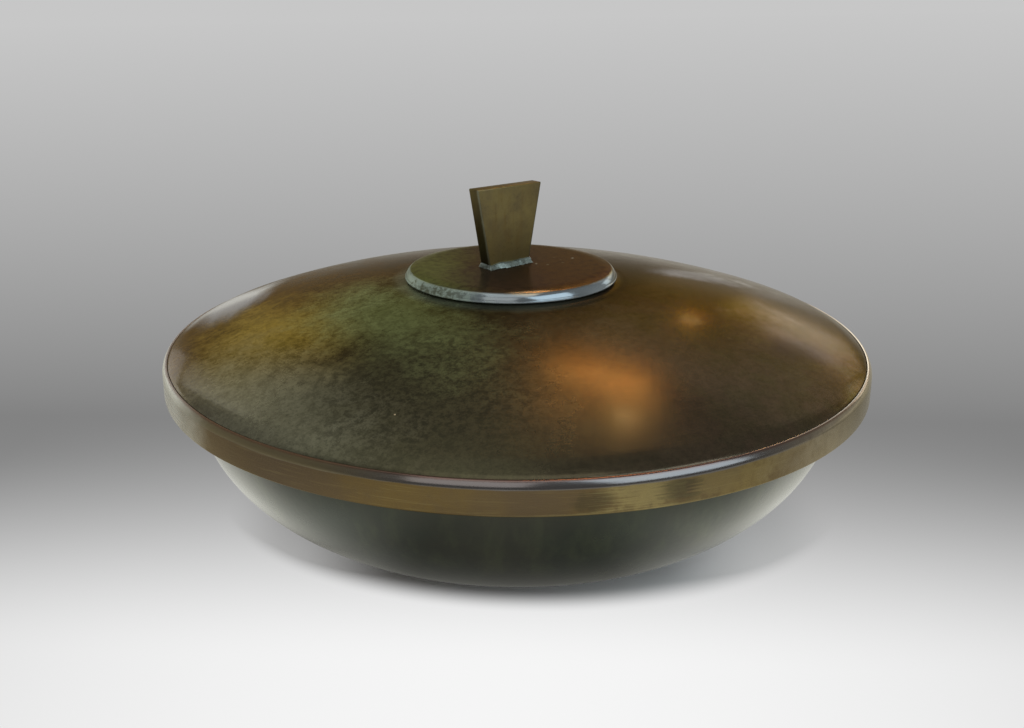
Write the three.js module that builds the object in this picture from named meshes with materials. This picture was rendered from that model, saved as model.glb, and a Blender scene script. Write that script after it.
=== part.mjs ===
// Covered bowl in patinated bronze, standing upright. Millimetres, +Z up.
// The origin is the centre of the foot, on the surface that the bowl stands on.
// The finial's broad face looks along Y.
import * as THREE from "three";

// Bowl
const BOWL_RADIUS = 111; // outside, at the mouth
const BOWL_WALL = 2;
const BASE_RADIUS = 44; // flat part of the underside
const CURVE_HEIGHT = 52; // from the flat underside up to where the wall turns upright
const CURVE_FULLNESS = 2.1; // 2 is an ellipse, more is squarer
const NECK_HEIGHT = 5; // upright stretch below the lip's top
const LIP_WIDTH = 4.4; // turned out past the wall
const LIP_THICKNESS = 1.8;

// Foot
const FOOT_HEIGHT = 3;
const FOOT_WIDTH = 6;
const FOOT_INSET = 2; // in from the edge of the flat underside
const FOOT_EDGE_BREAK = 0.5;

// Rim band of the lid
const LIP_PLAY = 1.8; // between the lip and the band around it
const BAND_WALL = 2.8;
const BAND_SKIRT = 5; // how far the band hangs below the seat
const BAND_HEIGHT = 9.4;
const BAND_LEAN = 0.2; // the top is this much narrower than the bottom
const BAND_ROUND_WIDTH = 1.2; // the outer top edge is rolled over, taller than it is wide
const BAND_ROUND_HEIGHT = 2.1;
const BAND_EDGE_BREAK = 0.3;
const LEDGE_LAND = 1.5; // ledge left showing inside the collar

// Locating collar of the lid
const COLLAR_PLAY = 1; // inside the bowl's mouth, all round
const COLLAR_WALL = 2;
const COLLAR_DEPTH = 8;
const COLLAR_EDGE_BREAK = 0.6;

// Domed lid
const LID_WALL = 1.8;
const LID_GAP = 0.3; // between the dome's edge and the band
const LANDING_WIDTH = 4; // flat under the dome's edge, on the ledge
const LID_RISE = 19.8; // from the band's top to the seat of the disc
const LID_BOW = 2.7; // of the dome above a straight cone
const SHOULDER_WIDTH = 6; // the dome's edge turns down over this width
const SHOULDER_DROP = 0.9;
const COVE_WIDTH = 4.5; // upturned foot of the disc's seat
const COVE_HEIGHT = 0.9;

// Disc on the lid
const DISC_RADIUS = 36.8;
const DISC_THICKNESS = 4;
const DISC_OVERHANG = 1.3; // past its seat, which leaves a shadow line
const DISC_UNDERCUT = 0.5;
const DISC_LIP_HEIGHT = 0.5;
const DISC_LIP_STEP = 0.35; // the edge above the lip is set in by this much
const DISC_ROUND = 1.7;

// Finial
const FINIAL_HEIGHT = 27.6;
const FINIAL_TOP_WIDTH = 27.5;
const FINIAL_FOOT_WIDTH = 17.1;
const FINIAL_THICKNESS = 4.2;
const FINIAL_EDGE_BREAK = 0.35;
const FINIAL_OFFSET_X = -1.3; // set a little off the axis, by eye
const FINIAL_OFFSET_Y = 0.9;

// Braze around the finial's foot
const BRAZE_GAP = 0.3; // to the plate that it wets
const BRAZE_HEIGHT = 1.9;
const BRAZE_TOE = 2.3; // spread on the disc, along the plate's broad faces
const BRAZE_END_TOE = 1.1; // the same at its two ends
const BRAZE_CREST = 0.6; // thickness at its upper edge
const BRAZE_UNEVENNESS = 0.16; // share of the spread that comes and goes
const BRAZE_LUMPS = 7; // swellings around the foot

const TURNS = 72; // sides of every turned piece
const CURVE_STEPS = 12;
const ROUND_STEPS = 4;

// Heights above the standing surface
const baseZ = FOOT_HEIGHT;
const curveTopZ = baseZ + CURVE_HEIGHT;
const seatZ = curveTopZ + NECK_HEIGHT; // the lid rests on the lip here
const bandBottomZ = seatZ - BAND_SKIRT;
const bandTopZ = bandBottomZ + BAND_HEIGHT;
const ledgeTopZ = bandTopZ - LID_WALL;
const discSeatZ = bandTopZ + LID_RISE;
const discTopZ = discSeatZ + DISC_THICKNESS;

// Radii, outwards from the axis
const mouthRadius = BOWL_RADIUS - BOWL_WALL;
const lipRadius = BOWL_RADIUS + LIP_WIDTH;
const bandInnerRadius = lipRadius + LIP_PLAY;
const bandRadius = bandInnerRadius + BAND_WALL;
const bandTopRadius = bandRadius - BAND_LEAN;
const rebateRadius = bandTopRadius - BAND_ROUND_WIDTH - BAND_EDGE_BREAK;
const lidRadius = rebateRadius - LID_GAP;
const collarRadius = mouthRadius - COLLAR_PLAY;
const collarInnerRadius = collarRadius - COLLAR_WALL;
const ledgeRadius = collarInnerRadius - LEDGE_LAND;
const discSeatRadius = DISC_RADIUS - DISC_OVERHANG;
const coveRadius = discSeatRadius + COVE_WIDTH;

function steps(count, make) {
  return Array.from({ length: count + 1 }, (_, i) => make(i / count));
}

// Points of a section over an outer top edge, a quarter of an ellipse from its foot to its top.
function overEdge(radius, topZ, width, height) {
  return steps(ROUND_STEPS, (t) => {
    const angle = (t * Math.PI) / 2;
    return [radius - width * (1 - Math.cos(angle)), topZ - height * (1 - Math.sin(angle))];
  });
}

// Bowl section from its flat base up to the neck, a quarter of a full ellipse.
function bowlCurve(width, height) {
  const power = 2 / CURVE_FULLNESS;
  return steps(CURVE_STEPS, (t) => {
    const angle = (t * Math.PI) / 2;
    return [
      BASE_RADIUS + width * Math.sin(angle) ** power,
      curveTopZ - height * Math.cos(angle) ** power,
    ];
  });
}

// Height of the dome's outside at a radius: an arc bowed above the cone from rim to cove,
// which turns down to the band over the shoulder.
function domeZ(radius) {
  const along = (lidRadius - radius) / (lidRadius - coveRadius);
  const cone = bandTopZ + SHOULDER_DROP + along * (LID_RISE - COVE_HEIGHT - SHOULDER_DROP);
  const overShoulder = Math.max(0, 1 - (lidRadius - radius) / SHOULDER_WIDTH);
  return cone + 4 * LID_BOW * along * (1 - along) - SHOULDER_DROP * overShoulder ** 2;
}

// A solid of revolution. Its section runs from the axis to the axis, or closes on itself.
function turned(section, closed = false) {
  const points = section.map(([radius, z]) => new THREE.Vector2(radius, z));
  if (closed) points.push(points[0].clone());
  return new THREE.LatheGeometry(points, TURNS).rotateX(Math.PI / 2);
}

function bowl() {
  const inside = bowlCurve(mouthRadius - BASE_RADIUS, CURVE_HEIGHT - BOWL_WALL);
  return turned([
    [0, baseZ],
    ...bowlCurve(BOWL_RADIUS - BASE_RADIUS, CURVE_HEIGHT),
    [BOWL_RADIUS, seatZ - LIP_THICKNESS],
    [lipRadius, seatZ - LIP_THICKNESS],
    [lipRadius, seatZ],
    [mouthRadius, seatZ],
    ...inside.reverse(),
    [0, baseZ + BOWL_WALL],
  ]);
}

function footRing() {
  const outer = BASE_RADIUS - FOOT_INSET;
  const inner = outer - FOOT_WIDTH;
  const section = [
    [inner + FOOT_EDGE_BREAK, 0],
    [outer - FOOT_EDGE_BREAK, 0],
    [outer, FOOT_EDGE_BREAK],
    [outer, FOOT_HEIGHT],
    [inner, FOOT_HEIGHT],
    [inner, FOOT_EDGE_BREAK],
  ];
  return turned(section, true);
}

function rimBand() {
  const section = [
    [bandRadius - BAND_EDGE_BREAK, bandBottomZ],
    [bandRadius, bandBottomZ + BAND_EDGE_BREAK],
    ...overEdge(bandTopRadius, bandTopZ, BAND_ROUND_WIDTH, BAND_ROUND_HEIGHT),
    [rebateRadius, bandTopZ],
    [rebateRadius, ledgeTopZ],
    [ledgeRadius, ledgeTopZ],
    [ledgeRadius, seatZ],
    [bandInnerRadius, seatZ],
    [bandInnerRadius, bandBottomZ],
  ];
  return turned(section, true);
}

function locatingCollar() {
  const bottomZ = seatZ - COLLAR_DEPTH;
  const section = [
    [collarInnerRadius, bottomZ],
    [collarRadius - COLLAR_EDGE_BREAK, bottomZ],
    [collarRadius, bottomZ + COLLAR_EDGE_BREAK],
    [collarRadius, seatZ],
    [collarInnerRadius, seatZ],
  ];
  return turned(section, true);
}

function lidShell() {
  const landingRadius = lidRadius - LANDING_WIDTH;
  const shoulderRadius = lidRadius - SHOULDER_WIDTH;
  const onDome = (from, to) => (t) => {
    const radius = THREE.MathUtils.lerp(from, to, t);
    return [radius, domeZ(radius)];
  };
  const domeTop = [
    ...steps(ROUND_STEPS, onDome(lidRadius, shoulderRadius)),
    ...steps(CURVE_STEPS, onDome(shoulderRadius, coveRadius)).slice(1),
  ];
  // The cove curves up from the dome to the seat, hollow side out.
  const cove = steps(ROUND_STEPS, (t) => [
    coveRadius - COVE_WIDTH * t,
    domeZ(coveRadius) + COVE_HEIGHT * t * t,
  ]).slice(1);
  const underside = steps(CURVE_STEPS, (t) => {
    const radius = THREE.MathUtils.lerp(discSeatRadius, landingRadius, t);
    return [radius, Math.min(domeZ(radius), discSeatZ) - LID_WALL];
  });
  return turned([
    [0, discSeatZ - LID_WALL],
    ...underside,
    [landingRadius, ledgeTopZ],
    [lidRadius, ledgeTopZ],
    ...domeTop,
    ...cove,
    [0, discSeatZ],
  ]);
}

function topDisc() {
  const wallRadius = DISC_RADIUS - DISC_LIP_STEP;
  const lipZ = discSeatZ + DISC_UNDERCUT;
  return turned([
    [0, discSeatZ],
    [discSeatRadius, discSeatZ],
    [DISC_RADIUS, lipZ],
    [DISC_RADIUS, lipZ + DISC_LIP_HEIGHT],
    [wallRadius, lipZ + DISC_LIP_HEIGHT + DISC_LIP_STEP],
    ...overEdge(wallRadius, discTopZ, DISC_ROUND, DISC_ROUND),
    [0, discTopZ],
  ]);
}

function finial() {
  const foot = FINIAL_FOOT_WIDTH / 2 - FINIAL_EDGE_BREAK;
  const top = FINIAL_TOP_WIDTH / 2 - FINIAL_EDGE_BREAK;
  const topY = FINIAL_HEIGHT - FINIAL_EDGE_BREAK;
  const outline = new THREE.Shape([
    new THREE.Vector2(-foot, FINIAL_EDGE_BREAK),
    new THREE.Vector2(foot, FINIAL_EDGE_BREAK),
    new THREE.Vector2(top, topY),
    new THREE.Vector2(-top, topY),
  ]);
  const plate = new THREE.ExtrudeGeometry(outline, {
    depth: FINIAL_THICKNESS - 2 * FINIAL_EDGE_BREAK,
    bevelThickness: FINIAL_EDGE_BREAK,
    bevelSize: FINIAL_EDGE_BREAK,
    bevelSegments: 1,
  });
  plate.translate(0, 0, FINIAL_EDGE_BREAK - FINIAL_THICKNESS / 2);
  return plate.rotateX(Math.PI / 2).translate(FINIAL_OFFSET_X, FINIAL_OFFSET_Y, discTopZ);
}

// A point of the rounded outline around the plate, at a height above the disc and a distance out.
function aroundFinial(turn, height, out) {
  const taper = (FINIAL_TOP_WIDTH - FINIAL_FOOT_WIDTH) / 2 / FINIAL_HEIGHT;
  const halfWidth = FINIAL_FOOT_WIDTH / 2 + taper * height;
  const halfThickness = FINIAL_THICKNESS / 2;
  const quarter = Math.floor(turn * 4);
  const angle = turn * 2 * Math.PI;
  const sideX = quarter === 0 || quarter === 3 ? 1 : -1;
  const sideY = quarter < 2 ? 1 : -1;
  return [
    FINIAL_OFFSET_X + sideX * halfWidth + out * Math.cos(angle),
    FINIAL_OFFSET_Y + sideY * halfThickness + out * Math.sin(angle),
    discTopZ + height,
  ];
}

// Bead of braze: a hollow-faced section carried round the plate, fuller and leaner by turns.
function finialBraze() {
  const perQuarter = 8;
  const rings = [];
  for (let quarter = 0; quarter < 4; quarter += 1) {
    for (let i = 0; i <= perQuarter; i += 1) {
      // Stay inside the quarter, so that both of its corners get a point.
      const turn = Math.min((quarter + i / perQuarter) / 4, (quarter + 1) / 4 - 1e-9);
      const swell = 1 + BRAZE_UNEVENNESS * Math.sin(BRAZE_LUMPS * turn * 2 * Math.PI);
      const endShare = Math.cos(turn * 2 * Math.PI) ** 2;
      const toe = THREE.MathUtils.lerp(BRAZE_TOE, BRAZE_END_TOE, endShare) * swell;
      const face = steps(ROUND_STEPS, (t) => {
        const spread = BRAZE_CREST + (toe - BRAZE_CREST) * (1 - t) ** 2;
        return aroundFinial(turn, BRAZE_HEIGHT * t, BRAZE_GAP + spread);
      });
      rings.push([
        ...face,
        aroundFinial(turn, BRAZE_HEIGHT, BRAZE_GAP),
        aroundFinial(turn, 0, BRAZE_GAP),
      ]);
    }
  }
  return closedSweep(rings);
}

// Joins closed sections, one after another, into a ring.
function closedSweep(rings) {
  const across = rings[0].length;
  const positions = rings.flat(2);
  const faces = [];
  rings.forEach((_, ring) => {
    const next = (ring + 1) % rings.length;
    for (let i = 0; i < across; i += 1) {
      const j = (i + 1) % across;
      const [a, b] = [ring * across + i, ring * across + j];
      const [c, d] = [next * across + i, next * across + j];
      faces.push(a, c, b, b, c, d);
    }
  });
  const geometry = new THREE.BufferGeometry();
  geometry.setAttribute("position", new THREE.Float32BufferAttribute(positions, 3));
  geometry.setIndex(faces);
  geometry.computeVertexNormals();
  return geometry;
}

function metal(color, roughness) {
  return new THREE.MeshStandardMaterial({ color, roughness, metalness: 1 });
}

function piece(name, geometry, material) {
  const mesh = new THREE.Mesh(geometry, material);
  mesh.name = name;
  return mesh;
}

const lowerPart = new THREE.Group();
lowerPart.add(
  piece("bowl", bowl(), metal(0x3f4238, 0.4)),
  piece("foot_ring", footRing(), metal(0x4a4636, 0.45)),
);

const lid = new THREE.Group();
lid.add(
  piece("rim_band", rimBand(), metal(0x6b5730, 0.35)),
  piece("locating_collar", locatingCollar(), metal(0x6b5730, 0.45)),
  piece("lid_shell", lidShell(), metal(0x4c4a2c, 0.38)),
  piece("top_disc", topDisc(), metal(0x50452d, 0.25)),
  piece("finial", finial(), metal(0x5f5534, 0.4)),
  piece("finial_braze", finialBraze(), metal(0x6f7866, 0.6)),
);

const coveredBowl = new THREE.Group();
coveredBowl.add(lowerPart, lid);

export default coveredBowl;
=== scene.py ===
"""A covered bowl in patinated bronze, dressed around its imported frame.

Run as a script it loads the frame, registers the add-on below and calls each operator in turn.
All lengths are metres in the frame's own axes: +Z up, origin at the centre of the foot.
"""
import math

import bpy
from bpy.props import FloatProperty, FloatVectorProperty, IntProperty, PointerProperty
from mathutils import Matrix, Vector


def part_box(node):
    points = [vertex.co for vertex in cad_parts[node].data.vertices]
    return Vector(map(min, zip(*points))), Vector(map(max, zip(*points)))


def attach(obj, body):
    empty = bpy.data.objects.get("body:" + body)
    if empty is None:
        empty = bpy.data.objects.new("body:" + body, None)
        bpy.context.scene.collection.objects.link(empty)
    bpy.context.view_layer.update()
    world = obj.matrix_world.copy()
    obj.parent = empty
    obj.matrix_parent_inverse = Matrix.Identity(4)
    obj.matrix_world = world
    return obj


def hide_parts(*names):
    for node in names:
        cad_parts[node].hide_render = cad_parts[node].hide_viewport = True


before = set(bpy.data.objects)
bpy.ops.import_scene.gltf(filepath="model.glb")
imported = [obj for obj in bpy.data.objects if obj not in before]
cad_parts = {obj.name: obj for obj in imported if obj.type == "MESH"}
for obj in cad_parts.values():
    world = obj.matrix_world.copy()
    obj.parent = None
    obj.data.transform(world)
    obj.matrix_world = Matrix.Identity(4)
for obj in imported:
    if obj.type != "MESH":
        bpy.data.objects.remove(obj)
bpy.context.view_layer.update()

bl_info = {
    "name": "Covered Bowl",
    "version": (1, 0, 0),
    "blender": (4, 5, 0),
    "location": "View3D > Sidebar > Covered Bowl",
    "description": "Models and finishes a spun bronze bowl with a domed, banded lid",
    "category": "Object",
}

# Heights, radii and the finial's place, from the frame
BASE_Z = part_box("bowl")[0].z
SEAT_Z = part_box("bowl")[1].z
LIP_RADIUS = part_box("bowl")[1].x
BAND_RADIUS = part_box("rim_band")[1].x
BAND_BOTTOM_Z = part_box("rim_band")[0].z
BAND_TOP_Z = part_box("rim_band")[1].z
LID_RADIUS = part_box("lid_shell")[1].x
LEDGE_TOP_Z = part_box("lid_shell")[0].z
DISC_SEAT_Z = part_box("top_disc")[0].z
DISC_TOP_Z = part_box("top_disc")[1].z
DISC_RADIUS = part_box("top_disc")[1].x
COLLAR_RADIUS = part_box("locating_collar")[1].x
COLLAR_BOTTOM_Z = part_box("locating_collar")[0].z
FOOT_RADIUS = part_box("foot_ring")[1].x
FINIAL_CENTRE = (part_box("finial")[0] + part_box("finial")[1]) / 2
FINIAL_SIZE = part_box("finial")[1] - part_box("finial")[0]
BRAZE_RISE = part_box("finial_braze")[1].z - DISC_TOP_Z

PHOTO_WIDTH = 1024  # in pixels
FOCAL_PIXELS = 956.7  # lens of the photograph, in pixels of its width
CENTRE_PIXEL_X = 456.3  # where the lens's axis meets the photograph
SENSOR_WIDTH = 36.0  # in millimetres
CAMERA_AZIMUTH = math.radians(-38.45)  # the finial's broad face is turned from the camera by this
CAMERA_DISTANCE = 0.326  # level distance from the bowl's axis
CAMERA_HEIGHT = 0.1695
CAMERA_CLIP = 0.01  # nearest distance that it sees
CAMERA_TURN = math.radians(3.415)
CAMERA_TILT = math.radians(19.92)
CAMERA_ROLL = math.radians(-0.894)

# Level directions as the photograph is taken: straight away from the viewer, and to the right
AWAY = Vector((-math.sin(CAMERA_AZIMUTH), math.cos(CAMERA_AZIMUTH), 0.0))
RIGHT = Vector((math.cos(CAMERA_AZIMUTH), math.sin(CAMERA_AZIMUTH), 0.0))

MERGE_DISTANCE = 0.000005  # points nearer than this become one
BRAZE_VOXEL = 0.00018  # mesh size of the braze before it gets its lumps
INSIDE = 1  # place of the inner finish on a piece that has two

TABLE_RADIUS = 60.0
HORIZON = 0.571  # the grey in which the table meets the air
SHADOW_ASIDE = 0.006  # the bowl's soft shadow lies this far to the right of the axis


def length(name, description, default):
    """A size of the bowl, in metres."""
    return FloatProperty(name=name, description=description, default=default, unit="LENGTH", precision=5)


def tint(name, description, default):
    """A colour of the finish."""
    return FloatVectorProperty(
        name=name, description=description, default=default, subtype="COLOR", min=0.0, max=1.0
    )


class COVEREDBOWL_PG_sizes(bpy.types.PropertyGroup):
    """Sizes that the frame's boxes don't give."""

    turn_steps: IntProperty(name="Turn steps", description="Sides of a turned piece", default=240, min=48)
    edge_break: length("Edge break", "Small rounding of sheared edges", 0.0004)
    bowl_wall: length("Bowl wall", "Thickness of the bowl", 0.002)
    lip_width: length("Lip width", "How far the lip turns out past the wall", 0.0044)
    lip_thickness: length("Lip thickness", "Thickness of the turned-out lip", 0.0018)
    neck_height: length("Neck height", "Upright stretch of the wall below the lip's top", 0.005)
    base_radius: length("Base radius", "Flat part of the bowl's underside", 0.044)
    curve_fullness: FloatProperty(
        name="Curve fullness", description="2 is an ellipse, more is squarer", default=2.1
    )
    foot_width: length("Foot width", "Width of the foot ring", 0.006)
    band_wall: length("Band wall", "Thickness of the band's skirt", 0.0028)
    band_lean: length("Band lean", "How much narrower the band's top is", 0.0002)
    band_round_width: length("Band round width", "Rolled top edge of the band, inwards", 0.0012)
    band_round_height: length("Band round height", "Rolled top edge of the band, downwards", 0.0021)
    collar_wall: length("Collar wall", "Thickness of the locating collar", 0.002)
    ledge_land: length("Ledge land", "Ledge left showing inside the collar", 0.0015)
    seam: length("Seam", "Gap between the dome's edge and the band", 0.00012)
    lid_wall: length("Lid wall", "Thickness of the dome", 0.0018)
    lid_bow: length("Lid bow", "Height of the dome above a straight cone", 0.0027)
    shoulder_width: length("Shoulder width", "Over this the dome's edge turns down", 0.006)
    shoulder_drop: length("Shoulder drop", "How far the dome's edge turns down", 0.0009)
    landing_width: length("Landing width", "Flat under the dome's edge", 0.004)
    cove_width: length("Cove width", "Upturned foot of the disc's seat", 0.0045)
    cove_height: length("Cove height", "Rise of that upturned foot", 0.0009)
    disc_overhang: length("Disc overhang", "The disc's edge past its seat", 0.0013)
    disc_undercut: length("Disc undercut", "Shadow gap under the disc's edge", 0.0005)
    disc_lip: length("Disc lip", "Height of the thin lip at the foot of the disc's edge", 0.0005)
    disc_lip_step: length("Disc lip step", "How far the edge is set in above the lip", 0.00035)
    disc_round: length("Disc round", "Rounding of the disc's top edge, inwards", 0.0017)
    disc_camber: length("Disc camber", "How far the disc's top falls to its edge", 0.0006)
    camber_width: length("Camber width", "Over this the disc's top falls", 0.005)
    roll_flatness: FloatProperty(
        name="Roll flatness", description="1 is an ellipse, 2 a straight cut", default=1.45
    )
    finial_foot_width: length("Finial foot width", "Width of the plate at its foot", 0.0171)
    finial_back: length("Finial back", "Metal that the plate's back face has over the frame's", 0.0007)
    finial_edge: length("Finial edge", "Worn rounding of the plate's edges", 0.0004)
    braze_toe: length("Braze toe", "Spread of the braze along the plate's broad faces", 0.0023)
    braze_end_toe: length("Braze end toe", "Spread of the braze at the plate's two ends", 0.0011)
    braze_crest: length("Braze crest", "Thickness of the braze at its upper edge", 0.0006)
    braze_lump: length("Braze lump", "Size of the lumps in the braze", 0.0046)
    braze_relief: length("Braze relief", "From the hollows to the tops of those lumps", 0.0013)


class COVEREDBOWL_PG_finish(bpy.types.PropertyGroup):
    """Colours of the metal and its patina."""

    # Brown also paints shade on the band's front
    brown: tint("Brown", "Brown patina, the ground of the lid and the disc", (0.094, 0.068, 0.044))
    russet: tint("Russet", "Reddish brown patina", (0.15, 0.088, 0.022))
    olive: tint("Olive", "Golden olive patina", (0.34, 0.245, 0.055))
    green: tint("Green", "Green patina on the disc and round it", (0.19, 0.225, 0.095))
    moss: tint("Moss", "Grey-green patina of the darkest side", (0.080, 0.078, 0.042))
    # Pale also paints the lid's reflection by its left rim; on the finial's corners it is wear
    pale: tint("Pale", "Pale grey-green by the rim and on worn corners", (0.20, 0.195, 0.130))
    # Dark also paints shade on the bowl's foot and under its band, and on the finial's end faces
    dark: tint("Dark", "Darkest patina", (0.030, 0.030, 0.020))
    # Slate also paints the blue-grey tint of the lid's back-left sheen
    slate: tint("Slate", "Grey-green of the bowl and the lid's back left", (0.021, 0.030, 0.018))
    gold: tint("Gold", "Golden brown of the band", (0.14, 0.095, 0.034))
    brass: tint("Brass", "Rubbed metal of the band and the finial's foot", (0.34, 0.28, 0.12))
    edge: tint("Edge", "Grey-brown metal of the band's rolled edge", (0.150, 0.145, 0.146))
    steel: tint("Steel", "Grey metal of the disc's polished edge", (0.23, 0.268, 0.286))
    # Verdigris also paints the pale reflection in the cove round the disc on the lid
    verdigris: tint("Verdigris", "Pale green patina on the left of the disc's edge", (0.34, 0.42, 0.33))
    # Cream also paints the sheen on the band's left end and the highlight along its inner top edge
    cream: tint("Cream", "Pale film and specks on the band and the disc", (0.85, 0.86, 0.76))
    plate: tint("Plate", "Olive brown of the finial and the band's left edge", (0.196, 0.154, 0.061))
    # Bright also paints the glint just inside the disc's front edge
    bright: tint("Bright", "Bare metal at nicks and worn edges", (0.62, 0.50, 0.30))
    copper: tint("Copper", "Reddish line between the band and the dome", (0.12, 0.05, 0.03))
    inner: tint("Inner", "Inside of bowl and lid", (0.30, 0.19, 0.09))
    braze: tint("Braze", "Rough braze at the finial's foot", (0.170, 0.205, 0.180))


def sizes():
    """The sizes as the sidebar has them."""
    return bpy.context.scene.covered_bowl_sizes


def finish():
    """The colours as the sidebar has them."""
    return bpy.context.scene.covered_bowl_finish


# Shader expressions


class Wire:
    """A shader socket that takes part in Python arithmetic."""

    def __init__(self, shader, socket):
        self.shader = shader
        self.socket = socket

    def __add__(self, other):
        return self.shader.math("ADD", self, other)

    def __sub__(self, other):
        return self.shader.math("SUBTRACT", self, other)

    def __rsub__(self, other):
        return self.shader.math("SUBTRACT", other, self)

    def __mul__(self, other):
        return self.shader.math("MULTIPLY", self, other)

    def __truediv__(self, other):
        return self.shader.math("DIVIDE", self, other)

    def __rtruediv__(self, other):
        return self.shader.math("DIVIDE", other, self)

    __radd__ = __add__
    __rmul__ = __mul__


class Shader:
    """The nodes of a material or the world, built from expressions on a place or direction."""

    def __init__(self, owner, place="Object"):
        owner.use_nodes = True
        self.owner = owner
        self.tree = owner.node_tree
        self.tree.nodes.clear()
        self.place = self.add("ShaderNodeTexCoord", out=place)

    def add(self, kind, settings=None, values=None, out=0):
        """Makes a node: its settings first, then its sockets, by name or number."""
        node = self.tree.nodes.new(kind)
        for key, value in (settings or {}).items():
            setattr(node, key, value)
        for key, value in (values or {}).items():
            if isinstance(value, Wire):
                self.tree.links.new(value.socket, node.inputs[key])
            else:
                node.inputs[key].default_value = value
        return Wire(self, node.outputs[out]) if node.outputs else node

    def math(self, operation, *values):
        return self.add("ShaderNodeMath", {"operation": operation}, dict(enumerate(values)))

    def vector(self, operation, *values, out="Vector"):
        return self.add("ShaderNodeVectorMath", {"operation": operation}, dict(enumerate(values)), out)

    def axis(self, index, vector=None):
        return self.add("ShaderNodeSeparateXYZ", values={0: vector or self.place}, out=index)

    def along(self, direction):
        """How far the place lies along a level direction."""
        return self.vector("DOT_PRODUCT", self.place, direction, out="Value")

    def around(self):
        """Angle about the axis in degrees, nought at the front of the photograph, more to its right."""
        return self.math("ARCTAN2", self.along(RIGHT), 0.0 - self.along(AWAY)) * math.degrees(1.0)

    def stretched(self, stretch):
        """The place with each axis stretched by its own factor."""
        return self.vector("MULTIPLY", self.place, stretch)

    def radius(self):
        """Distance from the upright axis."""
        return self.vector("LENGTH", self.stretched((1.0, 1.0, 0.0)), out="Value")

    def noise(self, scale, detail=4.0, roughness=0.55, distortion=0.0, vector=None):
        values = {"Vector": vector or self.place, "Scale": scale, "Detail": detail}
        values |= {"Roughness": roughness, "Distortion": distortion}
        return self.add("ShaderNodeTexNoise", values=values)

    def step(self, value, low, high, kind="SMOOTHSTEP"):
        """Nought at the first level and one at the second, which may be the lower one."""
        return self.add("ShaderNodeMapRange", {"interpolation_type": kind}, {0: value, 1: low, 2: high})

    def mix(self, factor, first, second):
        first, second = (c if isinstance(c, Wire) else (*c, 1.0) for c in (first, second))
        settings = {"data_type": "RGBA", "clamp_factor": True}
        return self.add("ShaderNodeMix", settings, {0: factor, 6: first, 7: second}, out=2)

    def polar(self):
        """The place as its angle in degrees, its radius and its height."""
        return self.add("ShaderNodeCombineXYZ", values={0: self.around(), 1: self.radius(), 2: self.axis(2)})

    def ray(self, kind):
        """One for the rays of a kind: Camera, Glossy or Transmission."""
        return self.add("ShaderNodeLightPath", out=f"Is {kind} Ray")

    def spot(self, centre, reach, drift=0.0, soft=0.7, place=None):
        """One in the middle of a spot and nought past its reach along each axis, with a wandering border."""
        offset = self.vector("SUBTRACT", place or self.place, centre)
        away = self.vector("LENGTH", self.vector("DIVIDE", offset, reach), out="Value")
        return self.step(away + drift, 1.0, 1.0 - soft)

    def ripple(self, value, spacing):
        """Ripple of a length with the given spacing, from -1 to 1."""
        return self.math("SINE", value * (math.tau / spacing))

    def nicks(self, spacing, size, kept):
        """Tiny ragged spots, one in some cells of a random grid."""
        values = {"Vector": self.place, "Scale": 1 / spacing}
        near = self.add("ShaderNodeTexVoronoi", values=values)
        cell = self.add("ShaderNodeTexVoronoi", values=values, out="Color")
        chosen = self.step(self.axis(0, cell), kept, kept - 0.02)
        ragged = near + (self.noise(1400.0) - 0.5) * (1.6 * size / spacing)
        return self.step(ragged, size / spacing, 0.4 * size / spacing) * chosen

    def bump(self, height, depth, under=None):
        values = {"Height": height, "Strength": 1.0, "Distance": depth}
        if under:
            values["Normal"] = under
        return self.add("ShaderNodeBump", values=values)

    def surface(self, color, metallic, roughness, normal, constants=None):
        values = {"Base Color": color, "Metallic": metallic, "Roughness": roughness, "Normal": normal}
        shaded = self.add("ShaderNodeBsdfPrincipled", values=values | (constants or {}))
        self.add("ShaderNodeOutputMaterial", values={"Surface": shaded})
        return self.owner


# Finishes

# Patina mirrors little at a slant
DULL_EDGE = {"Specular Tint": (0.45, 0.39, 0.31, 1.0), "Specular IOR Level": 0.0}
WAX = {"Coat Weight": 0.07, "Coat Roughness": 0.2, "Coat IOR": 1.5}
PLAN = 1.0  # a spot's reach in height where it is drawn in plan


def material(name):
    """A new material with no nodes but its place."""
    return Shader(bpy.data.materials.new(name))


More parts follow.
